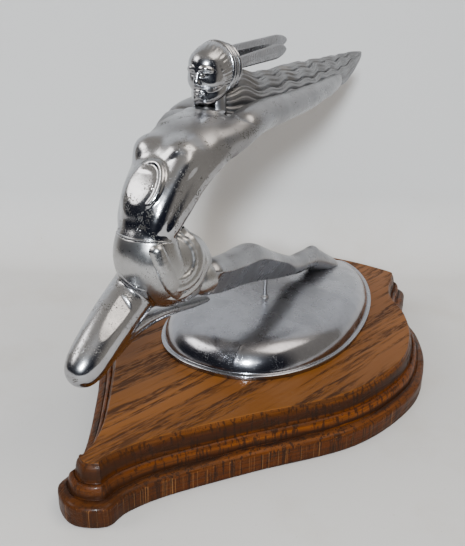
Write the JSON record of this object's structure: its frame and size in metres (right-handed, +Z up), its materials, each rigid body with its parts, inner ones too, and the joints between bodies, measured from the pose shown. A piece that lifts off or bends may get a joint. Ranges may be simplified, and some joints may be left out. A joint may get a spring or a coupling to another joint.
{
  "type": "hood ornament",
  "caption": "Chrome-plated leaping maiden hood ornament with feathers and streaming hair on a teardrop base, mounted on a shaped oak plaque.",
  "frame": {"origin": "middle of the plaque's underside, which is the plane the piece stands on", "axes": "+Z up, the figure leaps towards -Y, its left side is +X"},
  "size_m": [0.139, 0.227, 0.141],
  "materials": {
    "oak": "stained open-grain oak under semi-gloss lacquer, darker along the moulded edge",
    "chrome_plate": "polished chrome plate with age pitting, softer sheen on the grooved parts",
    "zinc_steel": "plain zinc-plated fasteners"
  },
  "bodies": {
    "root": {"plaque": "oak", "base_shell": "chrome_plate", "leg_post": "chrome_plate", "rear_leg": "chrome_plate", "front_leg": "chrome_plate", "pelvis": "chrome_plate", "waistband": "chrome_plate", "hip_drape": "chrome_plate", "sash": "chrome_plate", "torso": "chrome_plate", "left_arm": "chrome_plate", "right_arm": "chrome_plate", "head": "chrome_plate", "headband": "chrome_plate", "upper_feather": "chrome_plate", "lower_feather": "chrome_plate", "hair": "chrome_plate", "mounting_studs": "zinc_steel", "stud_washers": "zinc_steel", "stud_nuts": "zinc_steel", "foot_screw": "zinc_steel"}
  },
  "joints": []
}
